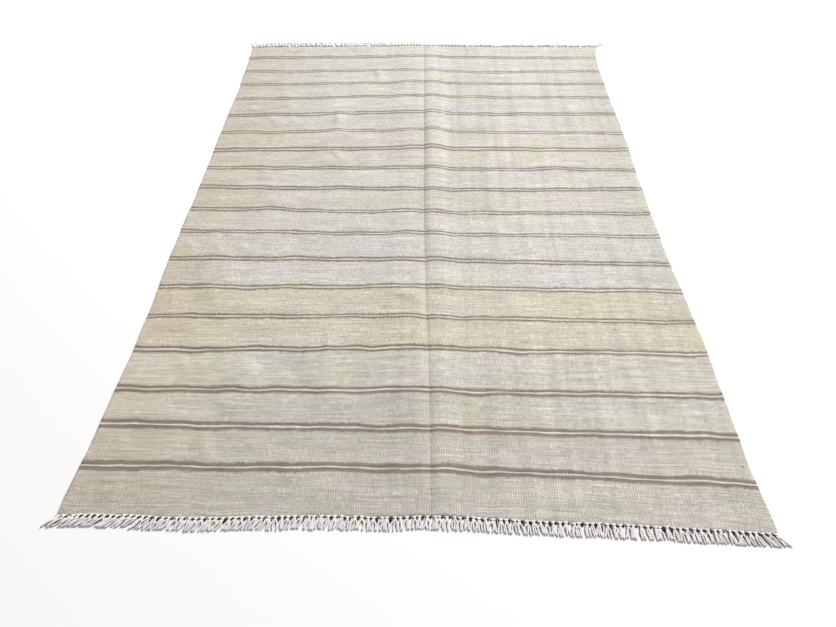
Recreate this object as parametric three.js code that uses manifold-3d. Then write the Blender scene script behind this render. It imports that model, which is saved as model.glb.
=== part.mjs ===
// Flat-woven striped rug with a knotted fringe at each end, lying open on a floor.
// Millimetres. +X runs across the rug, +Y along it to the far end, +Z up from the floor.
import * as THREE from 'three';
import { mergeVertices } from 'three/addons/utils/BufferGeometryUtils.js';
import Module from 'manifold-3d';

const wasm = await Module();
wasm.setup();

// Driving dimensions
const CLOTH_LENGTH = 2540;
const CLOTH_THICKNESS = 2.5;
const ROWS_ALONG = 32;
const STRIP_GAP = 0.3;
const STRIP_DEPTH = 4;
const STRIP_HEIGHT = 3;
const LOCK_COUNT = 109;
const LOCK_WIDTH = 9;
const LOCK_SPACE = 1.6;
const LOCK_LENGTH = 46;
const LOCK_HEIGHT = 4.5;
const KNOT_REACH = 7;
const KNOT_WIDTH = 10;
const KNOT_HEIGHT = 6;
const KNOT_TURN = 0.4;
const ROOT_HEIGHT = 2.4;
const TIP_TAPER = 0.8;
const TIP_HEIGHT = 3;

// How far each side edge lies from the middle, from the near end to the far one.
const SIDES = [
  { along: -1270, left: -903, right: 897 },
  { along: -1080, left: -891, right: 886 },
  { along: -650, left: -875, right: 884 },
  { along: -300, left: -880, right: 868 },
  { along: 100, left: -875, right: 864 },
  { along: 500, left: -877, right: 868 },
  { along: 850, left: -877, right: 862 },
  { along: 1150, left: -886, right: 867 },
  { along: 1280, left: -900, right: 890 },
];

// How far the two woven ends lie from the middle, from the left side to the right.
const ENDS = [
  { across: -900, near: -1263, far: 1268 },
  { across: -650, near: -1257, far: 1281 },
  { across: -300, near: -1247, far: 1286 },
  { across: -40, near: -1241, far: 1288 },
  { across: 220, near: -1251, far: 1286 },
  { across: 510, near: -1259, far: 1285 },
  { across: 710, near: -1267, far: 1288 },
  { across: 900, near: -1278, far: 1285 },
];

// The old fold down the middle: where its valley runs, and how high the cloth stands in the
// valley and in the soft ridge on each side of it.
const FOLD = [
  { along: -1280, valleyAt: 42, valley: 0, left: 1, right: 1 },
  { along: -1120, valleyAt: 39, valley: 3, left: 6, right: 8 },
  { along: -860, valleyAt: 35, valley: 4, left: 10, right: 10 },
  { along: -440, valleyAt: 21, valley: 3, left: 9, right: 8 },
  { along: -170, valleyAt: 13, valley: 4, left: 7, right: 11 },
  { along: 80, valleyAt: 9, valley: 4, left: 6, right: 11 },
  { along: 500, valleyAt: 5, valley: 6, left: 10, right: 17 },
  { along: 760, valleyAt: 2, valley: 4, left: 9, right: 12 },
  { along: 1040, valleyAt: -1, valley: 3, left: 8, right: 9 },
  { along: 1290, valleyAt: -4, valley: 0, left: 1, right: 1 },
];
const LEFT_RIDGE = { peakAt: 55, endAt: 200 };
const RIGHT_RIDGE = { peakAt: 32, endAt: 130 };

// Distances from the valley where the cloth's grid has a line, close together over the ridges.
const LEFT_LINES = [200, 155, 115, 80, 52, 32, 15, 0];
const RIGHT_LINES = [12, 26, 42, 60, 80, 105, 130];
const SIDE_LINES = 9;

// Low puckers left by handling, each an oval swelling turned on the floor.
const PUCKERS = [
  { across: -390, along: 540, turn: 8, halfWidth: 95, halfLength: 190, height: 6 },
  { across: -360, along: 250, turn: 25, halfWidth: 90, halfLength: 150, height: 4 },
  { across: -690, along: -420, turn: 16, halfWidth: 95, halfLength: 250, height: 5 },
  { across: -300, along: -800, turn: 18, halfWidth: 90, halfLength: 180, height: 5 },
  { across: -540, along: -840, turn: 14, halfWidth: 90, halfLength: 160, height: 4 },
  { across: 430, along: 780, turn: 0, halfWidth: 110, halfLength: 220, height: 4 },
  { across: 560, along: 240, turn: -70, halfWidth: 90, halfLength: 200, height: 4 },
];

// Which way the locks of each fringe lean, in degrees towards +X, from left to right.
const LEAN = [
  { across: -900, near: -60, far: -42 },
  { across: -860, near: -44, far: -30 },
  { across: -740, near: -24, far: -24 },
  { across: -600, near: -5, far: -26 },
  { across: -480, near: -13, far: -22 },
  { across: -300, near: -3, far: -16 },
  { across: -190, near: 3, far: -9 },
  { across: -60, near: -5, far: -2 },
  { across: 100, near: -7, far: 6 },
  { across: 240, near: 10, far: 10 },
  { across: 420, near: -5, far: 18 },
  { across: 640, near: 10, far: 28 },
  { across: 760, near: 16, far: 26 },
  { across: 840, near: 27, far: 40 },
  { across: 900, near: 46, far: 60 },
];
const LEAN_SPREAD = 2;
const LENGTH_SPREAD = 4;

// One column of a table at a place between its rows, on a smooth curve through every row.
function readTable(rows, key, column, at) {
  const last = rows.length - 1;
  let row = 0;
  while (row < last - 1 && at > rows[row + 1][key]) {
    row += 1;
  }
  const slope = (index) => {
    const before = rows[Math.max(index - 1, 0)];
    const after = rows[Math.min(index + 1, last)];
    return (after[column] - before[column]) / (after[key] - before[key]);
  };
  const start = rows[row];
  const end = rows[row + 1];
  const span = end[key] - start[key];
  const t = THREE.MathUtils.clamp((at - start[key]) / span, 0, 1);
  const rise = t * t * (3 - 2 * t);
  const startPull = t * (1 - t) * (1 - t) * span * slope(row);
  const endPull = t * t * (t - 1) * span * slope(row + 1);
  return start[column] + rise * (end[column] - start[column]) + startPull + endPull;
}

// A repeatable number from -1 to 1 for each lock, so that no two neighbours match.
function scatter(index, salt) {
  const wave = Math.sin(index * 12.9898 + salt * 78.233) * 43758.5453;
  return 2 * (wave - Math.floor(wave)) - 1;
}

// Height over one side of the fold: up steeply from the valley, then down in a long soft slope.
function ridgeHeight(distance, valley, peak, ridge) {
  if (distance < ridge.peakAt) {
    return valley + (peak - valley) * Math.sin(0.5 * Math.PI * distance / ridge.peakAt);
  }
  const t = Math.min((distance - ridge.peakAt) / (ridge.endAt - ridge.peakAt), 1);
  return 0.5 * peak * (1 + Math.cos(Math.PI * t));
}

// Height of one pucker: its full height in the middle, nothing outside its oval.
function puckerHeight(pucker, across, along) {
  const turn = THREE.MathUtils.degToRad(pucker.turn);
  const dx = across - pucker.across;
  const dy = along - pucker.along;
  const wide = (dx * Math.cos(turn) + dy * Math.sin(turn)) / pucker.halfWidth;
  const long = (dy * Math.cos(turn) - dx * Math.sin(turn)) / pucker.halfLength;
  const inside = Math.max(1 - wide * wide - long * long, 0);
  return pucker.height * inside * inside;
}

// Height of the cloth's underside over the floor.
function clothLift(across, along) {
  const valley = readTable(FOLD, 'along', 'valley', along);
  const distance = across - readTable(FOLD, 'along', 'valleyAt', along);
  const side = distance < 0 ? 'left' : 'right';
  const ridge = distance < 0 ? LEFT_RIDGE : RIGHT_RIDGE;
  const peak = readTable(FOLD, 'along', side, along);
  let lift = ridgeHeight(Math.abs(distance), valley, peak, ridge);
  for (const pucker of PUCKERS) {
    lift += puckerHeight(pucker, across, along);
  }
  return lift;
}

// Places across the rug where the cloth's grid has a line, from the left edge to the right.
function gridAcross(along) {
  const left = readTable(SIDES, 'along', 'left', along);
  const right = readTable(SIDES, 'along', 'right', along);
  const valleyAt = readTable(FOLD, 'along', 'valleyAt', along);
  const foldLeft = valleyAt - LEFT_LINES[0];
  const foldRight = valleyAt + RIGHT_LINES[RIGHT_LINES.length - 1];
  const places = [];
  for (let line = 0; line < SIDE_LINES; line += 1) {
    places.push(left + (foldLeft - left) * line / SIDE_LINES);
  }
  places.push(...LEFT_LINES.map((distance) => valleyAt - distance));
  places.push(...RIGHT_LINES.map((distance) => valleyAt + distance));
  for (let line = 1; line <= SIDE_LINES; line += 1) {
    places.push(foldRight + (right - foldRight) * line / SIDE_LINES);
  }
  return places;
}

// A closed body from rings of points that follow one another, with a fan over each end ring.
function loftRings(rings) {
  const count = rings[0].length;
  const corners = [];
  const push = (a, b, c) => corners.push(...a, ...b, ...c);
  for (let ring = 0; ring < rings.length - 1; ring += 1) {
    for (let point = 0; point < count; point += 1) {
      const next = (point + 1) % count;
      push(rings[ring][point], rings[ring][next], rings[ring + 1][next]);
      push(rings[ring][point], rings[ring + 1][next], rings[ring + 1][point]);
    }
  }
  const first = rings[0];
  const last = rings[rings.length - 1];
  for (let point = 1; point < count - 1; point += 1) {
    push(first[0], first[point + 1], first[point]);
    push(last[0], last[point], last[point + 1]);
  }
  const geometry = new THREE.BufferGeometry();
  geometry.setAttribute('position', new THREE.Float32BufferAttribute(corners, 3));
  return mergeVertices(geometry);
}

// The woven cloth: one sheet, each ring a cut across it from the left edge to the right and back.
function clothGeometry() {
  const rings = [];
  for (let row = 0; row <= ROWS_ALONG; row += 1) {
    const along = row / ROWS_ALONG;
    const places = gridAcross((along - 0.5) * CLOTH_LENGTH);
    const under = places.map((across) => {
      const near = readTable(ENDS, 'across', 'near', across);
      const far = readTable(ENDS, 'across', 'far', across);
      const y = near + along * (far - near);
      return [across, y, clothLift(across, y)];
    });
    const over = under.map(([x, y, z]) => [x, y, z + CLOTH_THICKNESS]);
    rings.push([...under, ...over.reverse()]);
  }
  return sheetFromRings(rings);
}

// A closed sheet from its cuts: faces along the rings, and a row of four-sided faces on each end.
function sheetFromRings(rings) {
  const count = rings[0].length;
  const corners = [];
  const push = (a, b, c, d) => corners.push(...a, ...b, ...c, ...a, ...c, ...d);
  for (let ring = 0; ring < rings.length - 1; ring += 1) {
    for (let point = 0; point < count; point += 1) {
      const next = (point + 1) % count;
      push(rings[ring][point], rings[ring + 1][point], rings[ring + 1][next], rings[ring][next]);
    }
  }
  const first = rings[0];
  const last = rings[rings.length - 1];
  for (let point = 0; point < count / 2 - 1; point += 1) {
    const across = count - 1 - point;
    push(first[point], first[point + 1], first[across - 1], first[across]);
    push(last[point + 1], last[point], last[across], last[across - 1]);
  }
  const geometry = new THREE.BufferGeometry();
  geometry.setAttribute('position', new THREE.Float32BufferAttribute(corners, 3));
  return mergeVertices(geometry);
}

// The narrow strip that the locks are rooted in. It follows a woven end at a small gap.
function stripGeometry(end) {
  const outward = end === 'near' ? -1 : 1;
  const places = gridAcross(outward * 0.5 * CLOTH_LENGTH);
  const sideAt = (distance) => places.map((across) => {
    const woven = readTable(ENDS, 'across', end, across);
    return new THREE.Vector2(across, woven + outward * distance);
  });
  const inner = sideAt(STRIP_GAP);
  const outer = sideAt(STRIP_GAP + STRIP_DEPTH);
  const shape = new THREE.Shape([...inner, ...outer.reverse()]);
  return new THREE.ExtrudeGeometry(shape, { depth: STRIP_HEIGHT, bevelEnabled: false });
}

// One lock: a knot close to the cloth, then warp ends that lean over and taper, flat on the floor.
function lockGeometry(end, index) {
  const outward = end === 'near' ? -1 : 1;
  const places = gridAcross(outward * 0.5 * CLOTH_LENGTH);
  const left = places[0];
  const right = places[places.length - 1];
  const pitch = (right - left) / LOCK_COUNT;
  const rootX = left + (index + 0.5) * pitch;
  const rootY = readTable(ENDS, 'across', end, rootX) + outward * (STRIP_GAP + 0.5 * STRIP_DEPTH);
  const degrees = readTable(LEAN, 'across', end, rootX) + LEAN_SPREAD * scatter(index, outward);
  const lean = THREE.MathUtils.degToRad(degrees);
  const width = Math.min(LOCK_WIDTH, pitch * Math.cos(lean) - LOCK_SPACE);
  const knotTurn = KNOT_TURN * lean;
  const knotWidth = Math.min(KNOT_WIDTH, pitch * Math.cos(knotTurn) - LOCK_SPACE);
  const half = 0.5 * (LOCK_LENGTH + LENGTH_SPREAD * scatter(index, 3 * outward) - KNOT_REACH);
  const sections = [
    { reach: 0, turn: 0, wide: STRIP_DEPTH, height: ROOT_HEIGHT },
    { reach: KNOT_REACH, turn: knotTurn, wide: knotWidth, height: KNOT_HEIGHT },
    { reach: half, turn: lean, wide: width, height: LOCK_HEIGHT },
    { reach: half, turn: lean, wide: TIP_TAPER * width, height: TIP_HEIGHT },
  ];
  let x = rootX;
  let y = rootY;
  const rings = sections.map(({ reach, turn, wide, height }) => {
    x += reach * Math.sin(turn);
    y += outward * reach * Math.cos(turn);
    const sideX = 0.5 * wide * Math.cos(turn);
    const sideY = -0.5 * outward * wide * Math.sin(turn);
    const ring = [[x - sideX, y - sideY, 0], [x + sideX, y + sideY, 0], [x, y, height]];
    return outward < 0 ? ring : ring.reverse();
  });
  return loftRings(rings);
}

// A three.js geometry as a solid that can be joined to another, and back again.
function toSolid(geometry) {
  const bare = geometry.clone();
  bare.deleteAttribute('normal');
  bare.deleteAttribute('uv');
  const merged = mergeVertices(bare);
  const vertProperties = new Float32Array(merged.attributes.position.array);
  const triVerts = new Uint32Array(merged.index.array);
  return new wasm.Manifold(new wasm.Mesh({ numProp: 3, vertProperties, triVerts }));
}

function fromSolid(solid) {
  const mesh = solid.getMesh();
  const geometry = new THREE.BufferGeometry();
  geometry.setAttribute('position', new THREE.BufferAttribute(mesh.vertProperties, 3));
  geometry.setIndex(new THREE.BufferAttribute(mesh.triVerts, 1));
  return geometry;
}

// A whole fringe: its strip with every lock joined to it.
function fringeGeometry(end) {
  let fringe = toSolid(stripGeometry(end));
  for (let index = 0; index < LOCK_COUNT; index += 1) {
    fringe = fringe.add(toSolid(lockGeometry(end, index)));
  }
  return fromSolid(fringe);
}

const wovenCotton = new THREE.MeshStandardMaterial({ color: 0xd3ccbd, roughness: 0.95, metalness: 0 });
const warpYarn = new THREE.MeshStandardMaterial({ color: 0xebe7df, roughness: 0.9, metalness: 0 });

function namedMesh(name, geometry, material) {
  geometry.computeVertexNormals();
  const mesh = new THREE.Mesh(geometry, material);
  mesh.name = name;
  return mesh;
}

const rug = new THREE.Group();
rug.add(namedMesh('rug_cloth', clothGeometry(), wovenCotton));
rug.add(namedMesh('fringe_near', fringeGeometry('near'), warpYarn));
rug.add(namedMesh('fringe_far', fringeGeometry('far'), warpYarn));

// The origin lies on the floor under the middle of the finished outline.
const middle = new THREE.Box3().setFromObject(rug).getCenter(new THREE.Vector3());
rug.position.set(-middle.x, -middle.y, 0);

export default rug;
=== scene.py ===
import math

import bpy
import numpy as np
from mathutils import Matrix, Vector


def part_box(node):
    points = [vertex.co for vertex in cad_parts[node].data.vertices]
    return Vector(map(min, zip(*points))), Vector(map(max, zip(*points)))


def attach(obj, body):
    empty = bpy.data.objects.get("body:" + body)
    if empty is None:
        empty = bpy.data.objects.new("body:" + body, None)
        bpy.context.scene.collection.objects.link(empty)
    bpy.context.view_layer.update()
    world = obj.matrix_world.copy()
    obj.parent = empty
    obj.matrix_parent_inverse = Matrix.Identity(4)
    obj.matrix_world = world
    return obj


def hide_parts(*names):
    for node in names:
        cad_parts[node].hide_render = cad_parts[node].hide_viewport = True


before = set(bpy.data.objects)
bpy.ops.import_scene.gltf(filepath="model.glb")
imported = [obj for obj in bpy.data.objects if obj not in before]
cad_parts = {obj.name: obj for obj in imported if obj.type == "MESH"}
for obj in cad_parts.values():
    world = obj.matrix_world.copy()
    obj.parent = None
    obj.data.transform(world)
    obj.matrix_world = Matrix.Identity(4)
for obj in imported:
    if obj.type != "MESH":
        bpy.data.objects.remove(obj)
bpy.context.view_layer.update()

# Woven cloth
# One flat weave of undyed wool weft packed down over cotton warps, woven in one piece, with
# pairs of narrow brown weft stripes. It lies open, with an old fold line down its middle.

# Lengths are in millimetres, counted from the middle of the rug: across to the right, and along to
# the far end.
MM = 0.001
CLOTH_LENGTH = 2540
CLOTH_THICKNESS = 2.5
EDGE_ROUNDING = 1.6
END_ROUNDING = 5.0
ROW_STEP = 10.0
CREASED_STEP = 8.0
FLAT_STEP = 20.0

# Side edges, from the near end to the far one.
SIDES = {
    "along": [-1270, -1080, -650, -300, 100, 500, 850, 1150, 1280],
    "left": [-903, -891, -875, -880, -875, -877, -875, -883, -890],
    "right": [897, 886, 884, 868, 864, 868, 862, 867, 890],
}

# Woven ends, from the left side to the right.
NEAR_END = {
    "across": [-900, -820, -715, -590, -462, -335, -210, -85, 41, 293, 542, 790, 900],
    "along": [-1262, -1258, -1258, -1262, -1259, -1254, -1251, -1252, -1246, -1255, -1262, -1273, -1279],
}
FAR_END = {
    "across": [-900, -650, -300, -40, 220, 510, 710, 900],
    "along": [1252, 1266, 1275, 1286, 1284, 1287, 1290, 1287],
}

# The fold line: where its valley runs, and how high the cloth stands in the valley and in the
# soft ridge on each side.
FOLD = {
    "along": [-1280, -1120, -860, -440, -170, 80, 500, 760, 1040, 1290],
    "valley_at": [42, 39, 35, 21, 13, 9, 5, 2, -1, -4],
    "valley": [0, 4, 6, 5, 5, 6, 9.5, 7, 5, 0],
    "left": [1, 6, 10, 9, 7, 7, 11, 9, 8, 1],
    "right": [1, 8, 10, 8, 11, 11, 17, 12, 9, 1],
}
LEFT_RIDGE = {"peak_at": 55, "end_at": 200}
RIGHT_RIDGE = {"peak_at": 32, "end_at": 130}

# Low puckers left by handling: oval swellings, turned on the floor. Each row is a place across and
# along, the turn in degrees, the reach across and along the turn, and the height.
PUCKERS = [
    (-390, 540, 8, 110, 190, 4),
    (-360, 250, 25, 90, 150, 4),
    (-690, -420, 16, 95, 250, 5),
    (-300, -800, 18, 90, 180, 5),
    (-540, -840, 14, 90, 160, 4),
    (430, 780, 0, 110, 220, 4),
    (560, 240, -70, 90, 200, 4),
]

# Small creases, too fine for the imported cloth: short soft ridges with one steep side, the one to
# the left of its run. Each row is a place across and along, the turn of its run in degrees from
# straight across the rug, the reach to its sides and along its run, and the height.
STEEP_SIDE = 0.6
CREASES = [
    (-382, 570, 91, 26, 95, 5.8),
    (-355, 300, 118, 28, 75, 4.6),
    (-232, 1000, 112, 26, 60, 5.0),
    (-668, 825, 106, 30, 90, 3.2),
    (-606, 690, 305, 24, 50, 3.0),
    (-775, 665, 310, 26, 55, 3.0),
    (-672, 565, 122, 28, 60, 3.8),
    (-582, 545, 78, 24, 55, 3.4),
    (-705, 405, 318, 34, 55, 2.4),
    (-622, 172, 302, 28, 60, 3.0),
    (-560, -5, 352, 60, 110, 3.0),
    (-310, -90, 85, 26, 110, 1.4),
    (-815, -262, 304, 26, 60, 2.8),
    (-704, -280, 308, 26, 60, 2.8),
    (-634, -260, 318, 26, 55, 2.4),
    (-586, -285, 310, 22, 35, 1.8),
    (-682, -375, 92, 26, 75, 1.9),
    (-672, -515, 296, 28, 70, 2.4),
    (-812, -532, 118, 26, 60, 1.8),
    (-520, -545, 350, 55, 110, 3.6),
    (-288, -690, 92, 27, 130, 3.2),
    (-40, -500, 148, 28, 75, 4.4),
    (-705, -785, 304, 26, 60, 2.8),
    (-640, -795, 318, 26, 55, 2.4),
    (-505, -800, 325, 55, 70, 4.6),
    (-385, -840, 320, 34, 50, 2.6),
    (-545, -920, 332, 28, 70, 2.6),
    (-570, -1058, 296, 28, 60, 4.0),
    (-795, -1058, 316, 26, 60, 2.2),
    (-778, -1185, 274, 28, 60, 2.2),
    (200, 780, 92, 28, 130, 1.6),
    (670, -750, 165, 18, 60, 1.4),
    (560, 235, 10, 40, 110, 2.2),
]

# Stripe pairs from the far end to the near one: where the pair crosses the middle, how far it
# drifts along the rug by each side edge, and its far line, the pale gap and its near line.
PAIRS = {
    "place": [1170, 1022, 904, 780, 636, 488, 360, 215, 78,
              -60, -183, -320, -453, -585, -715, -871, -998, -1119],
    "left": [-31, -22, -30, -42, -35, -21, -30, -6, 3, 7, 3, -7, -11, -10, -16, -3, 4, -4],
    "right": [1, 13, 7, 8, 8, 3, 5, 8, 21, 10, 3, -9, -2, -7, -5, -1, -10, -29],
    "far_line": [10, 8, 8.5, 8.5, 10.2, 8, 12, 9.2, 10.2, 8.5, 7.8, 9.4, 8, 7.7, 9.2, 10.5, 11.2, 12],
    "gap": [7, 6, 4.5, 5, 6.5, 6, 9, 6, 5.5, 5.5, 5.5, 6, 6.5, 5.5, 6, 5.5, 5.5, 4.8],
    "near_line": [10, 8, 8.5, 8.5, 10.2, 8, 11.5, 9.2, 10.2, 8.5, 7.4, 9.4, 8, 7.7, 9.2, 10.5, 11.2, 12],
}

# Places where a pair steps aside from its smooth course. Each row is the pair's number, counted
# from 0 at the far end, the place across, the reach to each side, and the step along the rug.
KINKS = [
    (0, 420, 160, -6),
    (1, -230, 130, 8),
    (1, 330, 130, -14),
    (2, -75, 50, 7),
    (2, -300, 60, 7),
    (3, -280, 90, 5),
    (3, 380, 60, -12),
    (4, -365, 50, 5),
    (4, -220, 80, 7),
    (4, 340, 80, -9),
    (5, -375, 35, 10),
    (5, -220, 80, 11),
    (5, -660, 45, -5),
    (6, -100, 40, -9),
    (7, -140, 50, 8),
    (7, 535, 60, 6),
    (8, -640, 40, 4),
    (8, -320, 110, 6),
    (9, -585, 75, 9),
    (11, -440, 70, 7),
    (12, -130, 60, 7),
    (13, -220, 70, 5),
    (14, -330, 70, -4),
    (14, -200, 60, 6),
    (15, -500, 80, -6),
]

# The lines are a little thicker by the left edge, as a share of the widths above.
LINE_SHARE = {
    "across": [-890, -760, -560, -300, 0, 300, 620, 880],
    "share": [1.1, 1.08, 1.03, 0.97, 0.98, 0.97, 0.93, 0.95],
}

# The undyed wool of the ground came in lots of slightly different shades. Each band of ground,
# from the far end to the near one, was woven from one lot.
WOOL = {"pale": "CFCDC6", "ecru": "CBC9C2", "cream": "CDCABF", "straw": "CEC9B8", "stone": "C5C1B6"}
BANDS = (
    ["ecru", "ecru", "ecru", "ecru", "ecru", "ecru", "cream", "cream", "pale", "cream"]
    + ["pale", "pale", "pale", "straw", "straw", "cream", "cream", "stone", "stone"]
)

# The ground is darker and warmer towards the left edge.
LEFT_EDGE_TINT = {"shade": (0.955, 0.905, 0.84), "at": -660, "over": 110}

# Soft places where the ground was trodden darker or has faded lighter. Each row is the middle
# across and along, the reach across and along, and the share of light at the middle.
WASHES = [
    (-180, -935, 400, 80, 0.87),
    (-330, -1200, 380, 90, 0.94),
    (-790, -980, 130, 300, 1.09),
    (430, 60, 170, 1300, 1.04),
    (840, 300, 140, 1100, 0.96),
    (-120, 500, 160, 900, 1.02),
    (-150, 1000, 250, 350, 1.04),
    (160, 250, 120, 600, 0.97),
    (800, 900, 170, 380, 0.95),
    (500, -1170, 380, 110, 1.06),
    (-743, -972, 120, 11, 0.86),
]

# Small round marks: a dark stain, and nicks where a tuft of pale wool stands out. Each row is the
# place across and along, the radius, and the share of light.
MARKS = [
    (866, -1097, 4.5, 0.42),
    (-442, -1003, 4.5, 1.25),
    (-48, -993, 4.5, 1.22),
    (-851, -1001, 4.5, 1.2),
]

# How far the edges, the ends and the stripes wander from their courses, as they do when woven by
# hand, and over what longest length.
SIDE_WANDER, SIDE_WAVE = 1.3, 260
END_WANDER, END_WAVE = 0.8, 180
PAIR_WANDER, PAIR_WAVE = 2.4, 520

# A pair's drift is reached near the side edge, and grows with this power of the distance.
DRIFT_REACH = 870
DRIFT_POWER = 1.3

# The weave's own map counts this length for every step from one pair to the next.
PAIR_STEP = 130.0

SEED = 29


def on_curve(table, key, column, at):
    """One column of a table as a smooth curve: cubic from row to row, its slope at a row being
    the slope from the row before to the row after. `at` is a whole array of places."""
    keys = np.array(table[key], float)
    values = np.array(table[column], float)
    index = np.arange(len(keys))
    before = np.maximum(index - 1, 0)
    after = np.minimum(index + 1, len(keys) - 1)
    slopes = (values[after] - values[before]) / (keys[after] - keys[before])
    row = np.clip(np.searchsorted(keys, at) - 1, 0, len(keys) - 2)
    span = keys[row + 1] - keys[row]
    t = np.clip((at - keys[row]) / span, 0, 1)
    rise = t * t * (3 - 2 * t)
    pull = t * (1 - t) * (1 - t) * slopes[row] + t * t * (t - 1) * slopes[row + 1]
    return values[row] + rise * (values[row + 1] - values[row]) + pull * span


def unevenness(at, longest, salt):
    """A hand-made wander from about -1 to 1: the sum of seven sines with set random phases,
    each shorter and weaker than the last."""
    phases = np.random.default_rng(SEED + salt).uniform(0, 2 * math.pi, 7)
    shorter = 0.68 ** np.arange(7)
    waves = np.sin(2 * math.pi * np.asarray(at)[..., None] / (longest * shorter) + phases)
    return (waves * shorter).sum(-1) / 1.7


def cockle(across, along):
    """Slight buckling of a flat weave: the sum of twelve plane waves, 90 to 420 mm long, that
    run in set random directions, from about -1 to 1."""
    random = np.random.default_rng(SEED)
    lengths = np.geomspace(90, 420, 12)
    turns = random.uniform(0, math.pi, 12)
    phases = random.uniform(0, 2 * math.pi, 12)
    total = 0
    for length, turn, phase in zip(lengths, turns, phases):
        run = across * math.cos(turn) + along * math.sin(turn)
        total = total + (length / 420) ** 0.6 * np.sin(2 * math.pi * run / length + phase)
    return total / 4


def ridge(distance, valley, peak, shape):
    """Height over one side of the fold: from the valley up to the peak, steep at first, as one
    less the power 2.6 of what is left to go, then half a cosine down to nothing."""
    left_to_go = np.clip(1 - distance / shape["peak_at"], 0, 1)
    up = valley + (peak - valley) * (1 - left_to_go**2.6)
    t = np.clip((distance - shape["peak_at"]) / (shape["end_at"] - shape["peak_at"]), 0, 1)
    down = 0.5 * peak * (1 + np.cos(math.pi * t))
    return np.where(distance < shape["peak_at"], up, down)


def turned(across, along, turn):
    """Lengths across and along as lengths along a direction turned by so many degrees, x cos + y
    sin, and to the left of it, y cos - x sin."""
    cosine, sine = math.cos(math.radians(turn)), math.sin(math.radians(turn))
    return across * cosine + along * sine, along * cosine - across * sine


def cloth_lift(across, along):
    """Height of the underside over the floor: the fold's two ridges, plus each pucker as the
    square of one minus its oval distance, plus each crease as a bell across, steeper on one
    side, and a fading arch along, plus the upper half of the slight buckling, which is stronger
    on the left half."""
    valley = on_curve(FOLD, "along", "valley", along)
    distance = across - on_curve(FOLD, "along", "valley_at", along)
    left = ridge(-distance, valley, on_curve(FOLD, "along", "left", along), LEFT_RIDGE)
    right = ridge(distance, valley, on_curve(FOLD, "along", "right", along), RIGHT_RIDGE)
    lift = np.where(distance < 0, left, right)
    for x, y, turn, wide, long, height in PUCKERS:
        dx, dy = turned(across - x, along - y, turn)
        lift = lift + height * np.maximum(1 - (dx / wide) ** 2 - (dy / long) ** 2, 0) ** 2
    for x, y, turn, wide, long, height in CREASES:
        run, off = turned(across - x, along - y, turn)
        off = np.where(off > 0, off / STEEP_SIDE, off * STEEP_SIDE) / wide
        arch = np.maximum(1 - (run / long) ** 2, 0) ** 2
        lift = lift + height * arch * np.exp(-2.5 * off**2)
    buckled = 1.5 - 0.5 * np.tanh(across / 200)
    return np.maximum(lift, 0) + buckled * np.maximum(cockle(across, along), 0)


def evenly(start, stop, step):
    """Places from start to stop, both included, as near to one step apart as fits."""
    return np.linspace(start, stop, max(round(abs(stop - start) / step), 1) + 1)


def cloth_grid():
    """Places of the cloth's grid in millimetres: lines across follow the side edges, stand closer
    on the creased left half and crowd together over the fold, lines along run from one woven end
    to the other."""
    rim = np.array([0, 0.5, EDGE_ROUNDING])
    end = np.array([0, 0.5, 1.8, END_ROUNDING])
    rows = np.concatenate([end, evenly(12, CLOTH_LENGTH - 12, ROW_STEP), CLOTH_LENGTH - end[::-1]])
    share = (rows / CLOTH_LENGTH)[:, None]
    nominal = (share - 0.5) * CLOTH_LENGTH
    left = on_curve(SIDES, "along", "left", nominal)
    left = left + SIDE_WANDER * unevenness(nominal, SIDE_WAVE, 1)
    right = on_curve(SIDES, "along", "right", nominal)
    right = right + SIDE_WANDER * unevenness(nominal, SIDE_WAVE, 2)
    valley_at = on_curve(FOLD, "along", "valley_at", nominal)
    fold_left = valley_at - LEFT_RIDGE["end_at"]
    fold_right = valley_at + RIGHT_RIDGE["end_at"]
    outer_left = evenly(LEFT_RIDGE["end_at"], 70, 13)
    left_lines = np.concatenate([outer_left, evenly(60, 24, 9), evenly(18, 0, 3)])
    outer_right = evenly(RIGHT_RIDGE["peak_at"], RIGHT_RIDGE["end_at"], 10)
    right_lines = np.concatenate([evenly(3, 24, 3), outer_right])
    beside = 670
    creased = np.concatenate([rim, evenly(7, beside, CREASED_STEP)]) / (beside + CREASED_STEP)
    flat = np.concatenate([rim, evenly(7, beside, FLAT_STEP)]) / (beside + FLAT_STEP)
    across = np.concatenate(
        [
            left + (fold_left - left) * creased,
            valley_at - left_lines,
            valley_at + right_lines,
            right + (fold_right - right) * flat[::-1],
        ],
        axis=1,
    )
    near = on_curve(NEAR_END, "across", "along", across)
    near = near + END_WANDER * unevenness(across, END_WAVE, 3)
    far = on_curve(FAR_END, "across", "along", across)
    far = far + END_WANDER * unevenness(across, END_WAVE, 4)
    return across, near + share * (far - near)


def pair_line(number, across):
    """Where a stripe pair's middle lies at each place across: its place at the rug's middle, a
    drift that grows with a power of the distance, a slight wander, and a bell for each kink."""
    reach = np.abs(across / DRIFT_REACH) ** DRIFT_POWER
    drift = np.where(across < 0, PAIRS["left"][number], PAIRS["right"][number])
    line = PAIRS["place"][number] + drift * reach
    line = line + PAIR_WANDER * unevenness(across, PAIR_WAVE, 10 + number)
    for pair, middle, over, shift in KINKS:
        if pair == number:
            line = line + shift * np.exp(-(((across - middle) / over) ** 2))
    return line


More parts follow.
